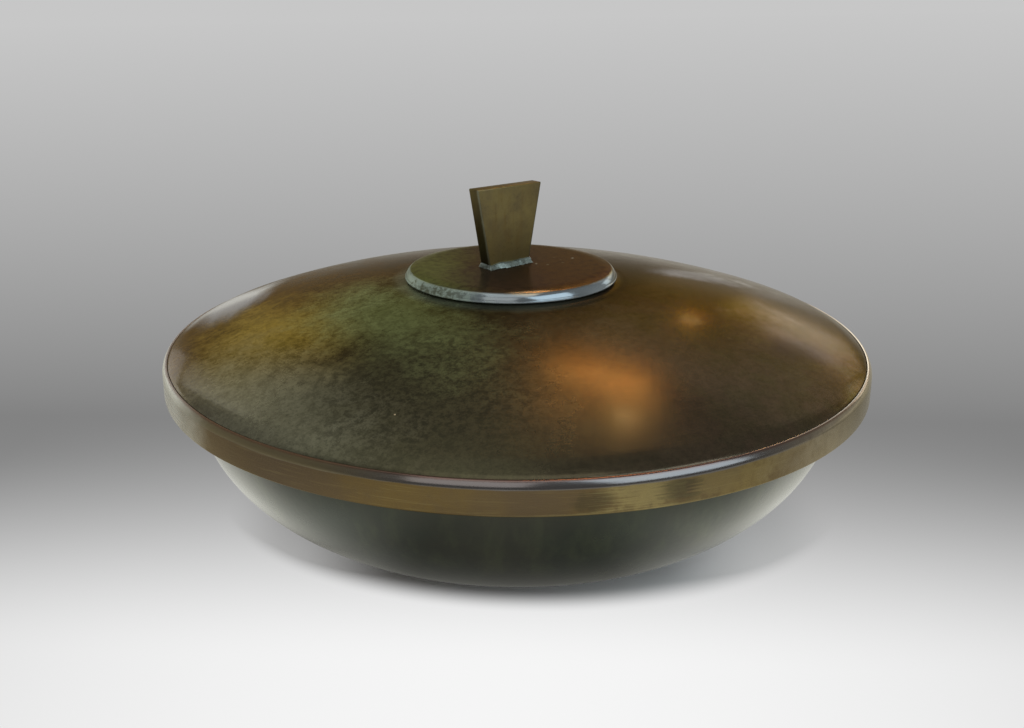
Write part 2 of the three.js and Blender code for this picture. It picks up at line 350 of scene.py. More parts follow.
def lid_metal():
    """Waxed patina: gold and green on one side, brown on the other, black mottles in front of them, with
    painted reflections: pale by the left rim, a ring round the disc, and a slate tint under the back-left
    sheen.
    """
    look = finish()
    s = material("lid_patina")
    clouds = s.noise(32.0, detail=5.0, roughness=0.6, distortion=0.4)
    blotch = s.noise(130.0, detail=5.0, roughness=0.6)
    mottle = s.noise(450.0, detail=6.0, roughness=0.8)
    grain = s.noise(1500.0, detail=3.0, roughness=0.7)
    polar = s.polar()
    drift = (clouds - 0.5) * 0.8 + (blotch - 0.5) * 0.6 + (mottle - 0.5) * 0.5
    russet = s.spot((-0.075, 0.065, 0.0), (0.095, 0.090, PLAN), drift, 0.9)
    golden = s.spot((-0.079, 0.016, 0.0), (0.036, 0.052, PLAN), drift, 0.9)
    orange = s.spot((-0.066, 0.033, 0.0), (0.018, 0.016, PLAN), drift, 0.95)
    greenish = s.spot((-0.053, -0.010, 0.0), (0.032, 0.060, PLAN), drift, 0.85)
    mossy = s.spot((-0.078, -0.060, 0.0), (0.078, 0.064, PLAN), drift, 0.6)
    darkest = s.spot((-0.066, -0.052, 0.0), (0.044, 0.040, PLAN), drift)
    pale = s.spot((-0.109, -0.022, 0.0), (0.036, 0.066, PLAN), drift, 0.9)
    browner = s.spot((0.043, -0.089, 0.0), (0.016, 0.010, PLAN), drift)
    color = s.mix(s.step(blotch, 0.42, 0.62) * 0.3, look.brown, look.moss)
    color = s.mix(s.step(clouds, 0.35, 0.7) * 0.35, color, look.dark)
    color = s.mix(russet * 0.85, color, look.russet)
    color = s.mix(mossy * 0.7, color, look.moss)
    color = s.mix(golden * 0.88, color, look.olive)
    color = s.mix(orange * 0.5, color, look.russet)
    color = s.mix(greenish * 0.9, color, look.green)
    # Painted reflection: the pale grey-green patch towards the lid's left rim
    color = s.mix(pale * 0.75, color, look.pale)
    color = s.mix(s.step(mottle, 0.42, 0.62) * (0.3 + darkest * 0.4), color, look.dark)
    color = s.mix(browner * 0.5, color, look.dark)
    color = s.mix(s.step(grain, 0.45, 0.75) * 0.4, color, look.dark)
    color = s.mix(s.nicks(0.021, 0.00045, 0.6), color, look.bright)
    patinated = mossy * 0.4 + greenish * 0.3 + golden * 0.3
    rough = 0.24 + patinated * 0.13 + (blotch - 0.5) * 0.12 - s.step(s.along(RIGHT), 0.0, 0.04) * 0.04
    streaks = s.noise(1.0, detail=4.0, roughness=0.6, vector=s.vector("MULTIPLY", polar, (0.05, 110.0, 0.0)))
    streaked = (streaks - 0.5) * 2.6
    back_left_sheen = s.spot((-98.0, 0.104, 0.0), (20.0, 0.017, PLAN), streaked * 0.3, 0.7, polar)
    # Painted reflection: the sheen at the back left tinted slate so that it reads blue-grey
    color = s.mix(back_left_sheen * 0.35, color, look.slate)
    # Painted reflection: a pale blue-green ring on the cove round the disc, on its front and left
    cove_reflection = s.step(s.radius() + drift * 0.004, DISC_RADIUS + 0.006, DISC_RADIUS + 0.0005)
    color = s.mix(cove_reflection * s.step(s.around(), 60.0, 10.0) * 0.22, color, look.verdigris)
    # Patches of the wax that catch the windows, by their angle and radius
    right = s.spot((107.0, 0.070, 0.0), (9.0, 0.024, PLAN), drift * 1.3, 0.8, polar)
    right_low = s.spot((98.0, 0.092, 0.0), (8.0, 0.014, PLAN), streaked * 0.3, 0.8, polar)
    right_wide = s.spot((76.0, 0.100, 0.0), (44.0, 0.026, PLAN), drift * 0.5, 0.9, polar)
    left_rim = s.spot((-56.0, 0.119, 0.0), (36.0, 0.014, PLAN), streaked * 0.1, 0.9, polar)
    sheen = right * 0.42 + right_low * 0.08 + right_wide * 0.12 + back_left_sheen * 0.95 + left_rim * 0.3
    grooved = s.spot((-0.058, 0.026, 0.0), (0.016, 0.018, PLAN), drift)
    waxed = s.spot((-0.005, -0.088, 0.0), (0.085, 0.055, PLAN), drift) * 0.05
    normal = s.bump(grain, 0.000014)
    normal = s.bump(s.ripple(s.axis(1, polar), 0.0011) * (0.1 + grooved), 0.000022, normal)
    coat = {"Coat Weight": 0.01 + waxed + sheen, "Coat Roughness": 0.12, "Coat IOR": 1.5}
    metallic = 0.85 - patinated * 0.35 - russet * 0.68
    return s.surface(color, metallic, rough, normal, DULL_EDGE | coat)


def bowl_metal():
    """Dark grey-green patina, cloudy, with faint streaks down the wall, and painted shade towards the foot
    and under the band.
    """
    look = finish()
    s = material("bowl_patina")
    clouds = s.noise(38.0, detail=5.0, roughness=0.6, distortion=0.3)
    streaks = s.noise(1.0, detail=4.0, roughness=0.6, vector=s.stretched((120.0, 120.0, 40.0)))
    grain = s.noise(560.0, detail=3.0, roughness=0.7)
    color = s.mix(s.step(clouds, 0.4, 0.75) * 0.5, look.slate, look.dark)
    color = s.mix(s.step(s.noise(21.0, detail=5.0, roughness=0.65), 0.45, 0.7) * 0.15, color, look.brown)
    color = s.mix(s.step(streaks, 0.45, 0.8) * 0.14, color, look.green)
    color = s.mix(s.nicks(0.024, 0.0005, 0.3), color, look.bright)
    # Painted shade: darker towards the foot
    clear_of_foot_shade = s.step(s.axis(2) + (clouds - 0.5) * 0.01, 0.006, 0.036)
    color = s.mix((1.0 - clear_of_foot_shade) * 0.5, color, look.dark)
    rough = 0.3 + (clouds - 0.5) * 0.2
    flank = s.step(s.math("ABSOLUTE", s.along(RIGHT)), 0.060, 0.102)
    # Painted shade: darker just under the band, but not at the flanks
    shaded = s.step(s.axis(2), 0.040, 0.055) * (1.0 - flank)
    color = s.mix(shaded * 0.5, color, look.dark)
    coat = {"Coat Weight": 0.8 + flank * 0.2 - shaded * 0.4, "Coat Roughness": 0.14, "Coat IOR": 1.6}
    constants = {"Coat Tint": (1.0, 0.99, 0.87, 1.0), "Specular IOR Level": 0.0}
    return s.surface(color, 0.75, rough, s.bump(grain, 0.00004), coat | constants)


def inner_metal():
    """Warm bronze inside, turned and lightly tarnished."""
    look = finish()
    s = material("inner_bronze")
    clouds = s.noise(45.0, detail=5.0, roughness=0.62)
    color = s.mix(s.step(clouds, 0.45, 0.75) * 0.55, look.inner, look.brown)
    rings = s.noise(1.0, detail=3.0, vector=s.add("ShaderNodeCombineXYZ", values={0: s.radius() * 900.0}))
    rough = 0.34 + (clouds - 0.5) * 0.2
    return s.surface(color, 0.95, rough, s.bump(rings, 0.00002))


def band_metal():
    """Golden-brown band, brushed round, rubbed bare in front, with a grey-brown rolled edge, painted shade
    in front, a painted sheen on its left end and a painted highlight along its inner top edge on the right.
    """
    look = finish()
    s = material("band_bronze")
    polar = s.polar()
    drawn_out = s.vector("MULTIPLY", polar, (0.12, 0.0, 1800.0))
    brushed = s.noise(1.0, detail=6.0, roughness=0.65, vector=drawn_out)
    clouds = s.noise(42.0, detail=5.0, roughness=0.6)
    patches = s.noise(240.0, detail=5.0, roughness=0.75)
    round_foot = BAND_TOP_Z - sizes().band_round_height
    seam = LID_RADIUS + sizes().seam
    drift = (patches - 0.5) * 1.4 + (brushed - 0.5) * 0.6
    scratched = (patches - 0.5) * 1.2 + (brushed - 0.5) * 2.4
    top = s.step(s.axis(2) + (clouds - 0.5) * 0.001, round_foot - 0.0002, round_foot + 0.0003)
    middle = (BAND_BOTTOM_Z + BAND_TOP_Z) / 2
    through = 0.01  # more than the band's wall
    whole = 0.03  # more than the band's height

    def patch(angle, reach, height, wander, soft=0.6, z=middle):
        """A spot on the band's outside, by its angle and by its reach round and up from there."""
        return s.spot((angle, BAND_RADIUS, z), (reach, through, height), wander, soft, polar)

    worn = s.math("MAXIMUM", patch(16.5, 7.0, 0.008, scratched), patch(28.0, 10.0, 0.008, drift) * 0.4)
    rubbed_low = patch(9.8, 3.4, 0.0035, drift * 0.9, z=middle - 0.001)
    rubbed = s.math("MAXIMUM", patch(20.5, 3.5, 0.005, scratched * 0.8), rubbed_low * 0.7)
    edge_worn = patch(14.0, 24.0, 0.001, drift * 0.6, z=BAND_BOTTOM_Z)
    reddish = patch(62.0, 24.0, whole, drift)
    left_end_sheen = patch(-96.0, 54.0, whole, (clouds - 0.5) * 0.3, 0.3)
    filmed = patch(58.0, 30.0, whole, drift * 0.3, 0.9)
    shaded = patch(-34.0, 18.0, whole, drift * 0.5, 0.7)
    shaded_front = patch(3.0, 8.0, whole, drift * 0.4, 0.9)
    inner_edge_highlight = s.step(s.radius(), seam + 0.0006, seam + 0.0002)
    inner_edge_highlight = inner_edge_highlight * s.spot((72.0, 0.1, 0.0), (46.0, 1.0, PLAN), place=polar)
    color = s.mix(s.step(clouds, 0.35, 0.7) * 0.5, look.gold, look.brown)
    # Painted shade: browner patches on the band's front left and front middle
    color = s.mix(s.math("MAXIMUM", shaded * 0.7, shaded_front * 0.6), color, look.brown)
    color = s.mix(reddish * 0.3, color, look.russet)
    color = s.mix(filmed * 0.2, color, look.cream)
    color = s.mix(worn * 0.55, color, look.brass)
    color = s.mix(rubbed * 0.6, color, look.dark)
    color = s.mix(s.step(brushed, 0.5, 0.8) * 0.3, color, look.brass)
    color = s.mix(s.step(patches, 0.45, 0.7) * 0.25, color, look.brown)
    color = s.mix(edge_worn * 0.3, color, look.brass)
    color = s.mix(top * s.step(s.axis(0, polar), 50.0, 28.0) * 0.9, color, look.edge)
    color = s.mix(top * s.step(s.axis(0, polar), -8.0, -26.0) * 0.7, color, look.plate)
    # Painted reflection: a pale creamy sheen over the band's left end
    color = s.mix(left_end_sheen * 0.75, color, look.cream)
    reddened = top * s.step(s.radius() + (patches - 0.5) * 0.0003, seam + 0.0011, seam + 0.0005)
    color = s.mix(reddened * 0.7, color, look.copper)
    # Painted highlight: a pale line along the band's inner top edge on the right
    color = s.mix(inner_edge_highlight * 0.4, color, look.cream)
    color = s.mix(s.nicks(0.016, 0.0005, 0.35), color, look.bright)
    left = s.step(s.axis(0, polar), -12.0, -30.0)
    rough = 0.28 + (brushed - 0.5) * 0.2 - top * (0.12 - left * 0.27)
    constants = WAX | {"Specular Tint": (0.7, 0.65, 0.55, 1.0)}
    return s.surface(color, 0.95 - left_end_sheen * 0.5, rough, s.bump(brushed, 0.00001), constants)


def disc_metal():
    """Green and reddish brown patina, smoother than the lid's, polished to grey round the edge, with a
    painted highlight just inside its front edge.
    """
    look = finish()
    s = material("disc_bronze")
    clouds = s.noise(55.0, detail=5.0, roughness=0.6, distortion=0.4)
    mottle = s.noise(420.0, detail=5.0, roughness=0.7)
    across = s.along(RIGHT) + (clouds - 0.5) * 0.02 + (mottle - 0.5) * 0.008
    shoulder = DISC_RADIUS - sizes().disc_lip_step - sizes().disc_round
    edge = s.step(s.radius() + (mottle - 0.5) * 0.0008, shoulder - 0.0002, shoulder + 0.0008)
    color = s.mix(s.step(clouds, 0.4, 0.75) * 0.35, look.brown, look.dark)
    color = s.mix(s.step(across, -0.004, 0.020) * 0.6, color, look.russet)
    color = s.mix(s.step(across, -0.006, -0.030) * 0.85, color, look.green)
    color = s.mix(s.step(mottle, 0.40, 0.68) * 0.45, color, look.dark)
    turn = s.around() + (clouds - 0.5) * 30.0 + (mottle - 0.5) * 25.0
    furred = edge * s.step(turn, -12.0, -34.0)
    color = s.mix(edge * 0.9, color, look.steel)
    color = s.mix(furred * 0.7, color, look.verdigris)
    color = s.mix(furred * s.step(mottle + (clouds - 0.5) * 0.6, 0.46, 0.60) * 0.75, color, look.moss)
    spatter = s.spot((0.0165, -0.0045, DISC_TOP_Z), (0.013, 0.006, 0.01))
    color = s.mix(s.nicks(0.0025, 0.0007, 0.6) * spatter, color, look.cream)
    color = s.mix(s.nicks(0.009, 0.0004, 0.4), color, look.bright)
    # Painted highlight: a bright orange-gold streak just inside the disc's front edge
    glint_place = (11.0, shoulder - 0.0002, DISC_TOP_Z)
    painted_glint = s.spot(glint_place, (15.0, 0.0014, 0.01), mottle - 0.5, 0.7, s.polar())
    color = s.mix(painted_glint * 0.6, color, look.bright)
    rough = 0.24 + (clouds - 0.5) * 0.1 - edge * 0.10 + furred * 0.25
    metallic = 0.75 - furred * 0.35
    constants = WAX | DULL_EDGE | {"Specular Tint": (0.38, 0.31, 0.20, 1.0)}
    return s.surface(color, metallic, rough, s.bump(mottle, 0.00001), constants)


def finial_metal():
    """Olive brown, faintly stained down its faces, worn paler along its upright corners, with painted shade
    on its end faces.
    """
    look = finish()
    s = material("finial_bronze")
    clouds = s.noise(110.0, detail=5.0, roughness=0.65)
    stains = s.noise(1.0, detail=4.0, roughness=0.6, vector=s.stretched((420.0, 420.0, 60.0)))
    grain = s.noise(900.0, detail=3.0, roughness=0.7)
    foot_width = sizes().finial_foot_width
    up = (s.axis(2) - DISC_TOP_Z) / FINIAL_SIZE.z
    half_width = foot_width / 2 + up * (FINIAL_SIZE.x - foot_width) / 2
    from_end = half_width - s.math("ABSOLUTE", s.axis(0) - FINIAL_CENTRE.x)
    back = sizes().finial_back / 2
    from_face = FINIAL_SIZE.y / 2 + back - s.math("ABSOLUTE", s.axis(1) - FINIAL_CENTRE.y - back)
    corner = s.step(from_end + from_face + (clouds - 0.5) * 0.0008, 0.0007, 0.0002)
    end_face_shade = s.step(from_end, 0.0007, 0.0004)
    color = s.mix(s.step(clouds, 0.35, 0.7) * 0.5, look.plate, look.brown)
    color = s.mix(s.step(stains, 0.5, 0.75) * 0.4, color, look.russet)
    color = s.mix(s.step(up, 0.5, 0.0) * 0.5, color, look.brass)
    color = s.mix(s.step(grain, 0.5, 0.8) * 0.3, color, look.dark)
    # Painted shade: the plate's narrow end faces darker, more so towards the foot
    color = s.mix(end_face_shade * (0.9 - up * 0.5), color, look.dark)
    color = s.mix(corner * 0.8, color, look.pale)
    rough = 0.38 + (clouds - 0.5) * 0.2
    return s.surface(color, 0.8, rough, s.bump(grain, 0.00002), WAX | DULL_EDGE)


def braze_metal():
    """Rough grey-green braze."""
    look = finish()
    s = material("braze")
    clouds = s.noise(500.0, detail=5.0, roughness=0.7)
    color = s.mix(s.step(clouds, 0.42, 0.66) * 0.7, look.braze, look.dark)
    return s.surface(color, 0.6, 0.38 + (clouds - 0.5) * 0.4, s.bump(clouds, 0.00012))


# Modelling


def new_piece(name):
    """Names the active new object and leaves edit mode."""
    bpy.ops.object.mode_set(mode="OBJECT")
    piece = bpy.context.object
    piece.name = name
    piece.data.name = name
    return piece


def smoothed(degrees):
    """Smooths the active piece, but for edges sharper than an angle."""
    bpy.ops.object.shade_smooth_by_angle(angle=math.radians(degrees))


def turned(name, section, closed=False):
    """Draws a section point by point in the XZ plane, then spins it round the axis."""
    bpy.ops.object.select_all(action="DESELECT")
    bpy.ops.mesh.primitive_plane_add(size=BAND_RADIUS)
    bpy.ops.object.mode_set(mode="EDIT")
    bpy.ops.mesh.select_all(action="SELECT")
    bpy.ops.mesh.merge(type="CENTER")
    bpy.ops.transform.translate(value=(section[0][0], 0.0, section[0][1]))
    path = list(section) + ([section[0]] if closed else [])
    for (r0, z0), (r1, z1) in zip(path, path[1:]):
        bpy.ops.mesh.extrude_vertices_move(TRANSFORM_OT_translate={"value": (r1 - r0, 0.0, z1 - z0)})
    bpy.ops.mesh.select_all(action="SELECT")
    bpy.ops.mesh.remove_doubles(threshold=MERGE_DISTANCE)
    bpy.ops.mesh.spin(
        steps=sizes().turn_steps, angle=math.tau, center=(0, 0, 0), axis=(0, 0, 1), use_auto_merge=True
    )
    bpy.ops.mesh.select_all(action="SELECT")
    bpy.ops.mesh.remove_doubles(threshold=MERGE_DISTANCE)
    bpy.ops.mesh.normals_make_consistent(inside=False)
    piece = new_piece(name)
    smoothed(35)
    return piece


def finished(piece, body, node, slot, *materials):
    """Hands a piece its finish and its place in the frame."""
    piece.data.materials.clear()
    for metal in materials:
        piece.data.materials.append(metal)
    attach(piece, body)
    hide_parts(node)


def finish_inside(piece, chosen):
    """Gives the faces that the test picks the inner one of a piece's two finishes."""
    for face in piece.data.polygons:
        if chosen(face):
            face.material_index = INSIDE


def steps(count):
    """Even shares from nought to one."""
    return [i / count for i in range(count + 1)]


def arc(radius, z, width, height, first, last, count):
    """Points of a section on a round or a flattened one, from one angle to another, in degrees."""
    angles = [math.radians(first + (last - first) * t) for t in steps(count)]
    return [(radius + width * math.cos(a), z + height * math.sin(a)) for a in angles]


def roll(radius, z, width, height):
    """Outer quarter of a rolled edge, between an ellipse and a straight cut."""
    power = sizes().roll_flatness
    angles = [t * math.pi / 2 for t in steps(18)]
    return [(radius + width * abs(math.cos(a)) ** power, z + height * math.sin(a) ** power) for a in angles]


def bowl_curve(width, height, count=40):
    """Bowl section from its flat base up to the neck, a quarter of a full ellipse."""
    power = 2 / sizes().curve_fullness
    top = SEAT_Z - sizes().neck_height
    angles = [t * math.pi / 2 for t in steps(count)]
    wide = [sizes().base_radius + width * math.sin(a) ** power for a in angles]
    high = [top - height * max(math.cos(a), 0.0) ** power for a in angles]
    return list(zip(wide, high))


def dome_z(radius):
    """Height of the dome's outside: an arc bowed above a cone, turned down at its shoulder."""
    size = sizes()
    cove = DISC_RADIUS - size.disc_overhang + size.cove_width
    along = (LID_RADIUS - radius) / (LID_RADIUS - cove)
    rise = DISC_SEAT_Z - BAND_TOP_Z - size.cove_height - size.shoulder_drop
    over = max(0.0, 1 - (LID_RADIUS - radius) / size.shoulder_width)
    cone = BAND_TOP_Z + size.shoulder_drop + along * rise
    return cone + 4 * size.lid_bow * along * (1 - along) - size.shoulder_drop * over**2


class COVEREDBOWL_OT_bowl(bpy.types.Operator):
    """Spin the bowl with its turned-out lip"""

    bl_idname = "covered_bowl.bowl"
    bl_label = "Bowl"

    def execute(self, context):
        size = sizes()
        wall = LIP_RADIUS - size.lip_width
        mouth = wall - size.bowl_wall
        height = SEAT_Z - size.neck_height - BASE_Z
        under_lip = SEAT_Z - size.lip_thickness
        edge = size.edge_break
        outside = bowl_curve(wall - size.base_radius, height)
        inside = bowl_curve(mouth - size.base_radius, height - size.bowl_wall)
        section = [(0.0, BASE_Z), *outside]
        section += arc(wall + 2 * edge, under_lip - 2 * edge, 2 * edge, 2 * edge, 180, 90, 4)
        section += arc(LIP_RADIUS - edge, under_lip + edge, edge, edge, -90, 0, 3)
        section += arc(LIP_RADIUS - edge, SEAT_Z - edge, edge, edge, 0, 90, 3)
        section += arc(mouth + edge, SEAT_Z - edge, edge, edge, 90, 180, 3)
        section += [*inside[::-1], (0.0, BASE_Z + size.bowl_wall)]
        piece = turned("spun_bowl", section)
        finished(piece, "bowl_body", "bowl", "bowl_bronze", bowl_metal(), inner_metal())
        # What looks at the axis or straight up
        finish_inside(piece, lambda f: f.normal.xy.dot(f.center.xy) < -1e-6 or f.normal.z > 0.99)
        return {"FINISHED"}


class COVEREDBOWL_OT_foot(bpy.types.Operator):
    """Turn the foot ring"""

    bl_idname = "covered_bowl.foot"
    bl_label = "Foot ring"

    def execute(self, context):
        edge = sizes().edge_break
        inner = FOOT_RADIUS - sizes().foot_width
        section = arc(FOOT_RADIUS - edge, edge, edge, edge, -90, 0, 4)
        section += [(FOOT_RADIUS, BASE_Z), (inner, BASE_Z)]
        section += arc(inner + edge, edge, edge, edge, 180, 270, 4)
        piece = turned("foot", section, closed=True)
        finished(piece, "bowl_body", "foot_ring", "bowl_bronze", bowl_metal())
        return {"FINISHED"}


class COVEREDBOWL_OT_band(bpy.types.Operator):
    """Turn the rim band with its inner ledge, and the collar below it"""

    bl_idname = "covered_bowl.band"
    bl_label = "Rim band and collar"

    def execute(self, context):
        size = sizes()
        edge = size.edge_break
        skirt = BAND_RADIUS - size.band_wall
        round_width = size.band_round_width
        round_height = size.band_round_height
        round_radius = BAND_RADIUS - size.band_lean - round_width
        rebate = LID_RADIUS + size.seam
        ledge = COLLAR_RADIUS - size.collar_wall - size.ledge_land
        section = arc(BAND_RADIUS - edge, BAND_BOTTOM_Z + edge, edge, edge, -90, 0, 4)
        section += roll(round_radius, BAND_TOP_Z - round_height, round_width, round_height)
        section += [(rebate + edge / 4, BAND_TOP_Z), (rebate, BAND_TOP_Z - edge / 4)]
        section += [(rebate, LEDGE_TOP_Z), (ledge, LEDGE_TOP_Z), (ledge, SEAT_Z)]
        section += [(skirt, SEAT_Z), (skirt, BAND_BOTTOM_Z + edge), (skirt + edge, BAND_BOTTOM_Z)]
        band = turned("band", section, closed=True)
        finished(band, "lid_body", "rim_band", "band_bronze", band_metal())
        inner = COLLAR_RADIUS - size.collar_wall
        section = arc(COLLAR_RADIUS - edge, COLLAR_BOTTOM_Z + edge, edge, edge, -90, 0, 4)
        section += [(COLLAR_RADIUS, SEAT_Z), (inner, SEAT_Z)]
        section += arc(inner + edge, COLLAR_BOTTOM_Z + edge, edge, edge, 180, 270, 4)
        collar = turned("collar", section, closed=True)
        finished(collar, "lid_body", "locating_collar", "band_bronze", inner_metal())
        return {"FINISHED"}


class COVEREDBOWL_OT_dome(bpy.types.Operator):
    """Spin the domed lid with the upturned seat of the disc"""

    bl_idname = "covered_bowl.dome"
    bl_label = "Domed lid"

    def execute(self, context):
        size = sizes()
        seat = DISC_RADIUS - size.disc_overhang
        cove = seat + size.cove_width
        landing = LID_RADIUS - size.landing_width
        edge = size.edge_break / 3
        under = [seat + (landing - seat) * t for t in steps(30)]
        over = [LID_RADIUS - edge + (cove - LID_RADIUS + edge) * t for t in steps(90)]
        section = [(0.0, DISC_SEAT_Z - size.lid_wall)]
        section += [(r, min(dome_z(r), DISC_SEAT_Z) - size.lid_wall) for r in under]
        section += [(landing, LEDGE_TOP_Z), (LID_RADIUS, LEDGE_TOP_Z), (LID_RADIUS, BAND_TOP_Z - edge)]
        section += [(r, dome_z(r)) for r in over]
        upturn = steps(12)[1:]
        section += [(cove - size.cove_width * t, dome_z(cove) + size.cove_height * t * t) for t in upturn]
        section += [(0.0, DISC_SEAT_Z)]
        piece = turned("domed_lid", section)
        finished(piece, "lid_body", "lid_shell", "lid_bronze", lid_metal(), inner_metal())
        finish_inside(piece, lambda f: f.normal.z < -0.3)
        return {"FINISHED"}


class COVEREDBOWL_OT_disc(bpy.types.Operator):
    """Turn the disc on the lid, with its rounded edge and thin lip"""

    bl_idname = "covered_bowl.disc"
    bl_label = "Top disc"

    def execute(self, context):
        size = sizes()
        seat = DISC_RADIUS - size.disc_overhang
        lip_top = DISC_SEAT_Z + size.disc_undercut + size.disc_lip
        half_lip = size.disc_lip / 2
        wall = DISC_RADIUS - size.disc_lip_step
        soft = size.disc_round
        section = [(0.0, DISC_SEAT_Z), (seat, DISC_SEAT_Z), (DISC_RADIUS, lip_top - size.disc_lip)]
        section += arc(DISC_RADIUS - half_lip, lip_top - half_lip, half_lip, half_lip, 0, 90, 4)
        wall_foot = lip_top + size.disc_lip_step / 2
        section += roll(wall - soft, wall_foot, soft, DISC_TOP_Z - size.disc_camber - wall_foot)
        fall = [size.disc_camber * (1 - t) ** 2 for t in steps(10)]
        inwards = [wall - soft - size.camber_width * t for t in steps(10)]
        section += [(radius, DISC_TOP_Z - drop) for radius, drop in zip(inwards, fall)][1:]
        section += [(0.0, DISC_TOP_Z)]
        piece = turned("disc", section)
        finished(piece, "lid_body", "top_disc", "disc_bronze", disc_metal())
        return {"FINISHED"}


def keystone(name, foot, top, base_z, height):
    """A block between two level rectangles, each of a width and a thickness, under the finial's centre."""
    bpy.ops.object.select_all(action="DESELECT")
    bpy.ops.mesh.primitive_cube_add(size=1.0)
    bpy.ops.object.mode_set(mode="EDIT")
    bpy.ops.mesh.select_all(action="SELECT")
    bpy.ops.transform.resize(value=(foot[0], foot[1], height))
    bpy.ops.transform.translate(value=(FINIAL_CENTRE.x, FINIAL_CENTRE.y, base_z + height / 2))
    bpy.ops.object.mode_set(mode="OBJECT")
    block = bpy.context.object
    for vertex in block.data.vertices:
        vertex.select = vertex.co.z > base_z + height / 2
    for edge in block.data.edges:
        edge.select = all(block.data.vertices[v].select for v in edge.vertices)
    for face in block.data.polygons:
        face.select = face.normal.z > 0.5
    bpy.ops.object.mode_set(mode="EDIT")
    bpy.ops.transform.resize(value=(top[0] / foot[0], top[1] / foot[1], 1.0))
    return new_piece(name)


def shaped(piece, kind, **settings):
    """Gives a piece a modifier and applies it."""
    change = piece.modifiers.new(kind.lower(), kind)
    for key, value in settings.items():
        setattr(change, key, value)
    bpy.ops.object.modifier_apply(modifier=change.name)


class COVEREDBOWL_OT_finial(bpy.types.Operator):
    """Shape the keystone plate, then run the braze round its foot"""

    bl_idname = "covered_bowl.finial"
    bl_label = "Finial"

    def execute(self, context):
        size = sizes()
        thickness = FINIAL_SIZE.y + size.finial_back
        foot = (size.finial_foot_width, thickness)
        plate = keystone("keystone", foot, (FINIAL_SIZE.x, thickness), DISC_TOP_Z, FINIAL_SIZE.z)
        bpy.ops.object.mode_set(mode="EDIT")
        bpy.ops.mesh.select_all(action="SELECT")
        bpy.ops.transform.translate(value=(0.0, size.finial_back / 2, 0.0))
        bpy.ops.object.mode_set(mode="OBJECT")
        shaped(plate, "BEVEL", width=size.finial_edge, segments=3)
        smoothed(50)
        finished(plate, "lid_body", "finial", "finial_bronze", finial_metal())
        self.braze(plate)
        return {"FINISHED"}

    @staticmethod
    def braze(plate):
        """A lumpy ring of metal, spread on the disc and thin up the plate."""
        size = sizes()
        sunk = size.braze_crest  # the bead starts this far down and is then cut level with the disc
        toe = (size.finial_foot_width + 2 * size.braze_end_toe, FINIAL_SIZE.y + 2 * size.braze_toe)
        crest = (size.finial_foot_width + 3 * size.braze_crest, FINIAL_SIZE.y + 2 * size.braze_crest)
        bead = keystone("bead", toe, crest, DISC_TOP_Z - sunk, BRAZE_RISE + sunk)
        shaped(bead, "BEVEL", width=size.braze_crest, segments=3)
        shaped(bead, "REMESH", mode="VOXEL", voxel_size=BRAZE_VOXEL)
        lumps = bpy.data.textures.new("lumps", "CLOUDS")
        lumps.noise_scale = size.braze_lump
        lumps.noise_depth = 1
        relief = size.braze_relief
        shaped(bead, "DISPLACE", texture=lumps, texture_coords="LOCAL", strength=relief, mid_level=0.60)
        shaped(bead, "SMOOTH", factor=0.5, iterations=3)
        bpy.ops.object.mode_set(mode="EDIT")
        bpy.ops.mesh.select_all(action="SELECT")
        bpy.ops.mesh.bisect(
            plane_co=(0.0, 0.0, DISC_TOP_Z), plane_no=(0.0, 0.0, 1.0), use_fill=True, clear_inner=True
        )
        bpy.ops.object.mode_set(mode="OBJECT")
        shaped(bead, "BOOLEAN", operation="DIFFERENCE", solver="EXACT", object=plate)
        smoothed(40)
        finished(bead, "lid_body", "finial_braze", "braze_grey", braze_metal())


# Stage


def table_shade(s):
    """Grey of the table as painted light and shade: darker from the front to the middle distance, lighter
    again beyond it.
    """
    depth = s.along(AWAY)
    side = s.along(RIGHT)
    # Large at the table's front and nought far away
    fall = CAMERA_HEIGHT / s.math("MAXIMUM", depth + CAMERA_DISTANCE, 0.05)
    shade = HORIZON - 0.345 * s.step(fall, 0.0, 0.43, "LINEAR") + 0.562 * s.step(fall, 0.41, 0.77)
    # Painted light: a pool of light on the table in the middle front
    light_pool = s.math("MAXIMUM", 0.16 - 7.0 * side * side, -0.15) * s.step(fall, 0.40, 0.50)
    shade = shade * (1.0 + light_pool)
    return shade + (0.25 - shade) * s.step(depth, -0.5, -2.0)


def clear_of_shadow(s):
    """Nought under the bowl's soft shadow, a lens across the front, and one on the open table."""
    depth = s.along(AWAY)
    aside = s.along(RIGHT) - SHADOW_ASIDE
    lens = s.vector("LENGTH", s.add("ShaderNodeCombineXYZ", values={0: aside * 0.70, 1: depth}), out="Value")
    sideways = s.math("ABSOLUTE", aside)
    beside = s.step(sideways, 0.040, 0.085) * 0.55 + s.step(sideways, 0.080, 0.112) * 0.45
    behind = s.step(depth, -0.045, -0.018) * s.step(s.radius(), 0.075, 0.125)
    return s.math("MAXIMUM", s.math("MAXIMUM", s.step(lens, 0.067, 0.0795), beside), behind)


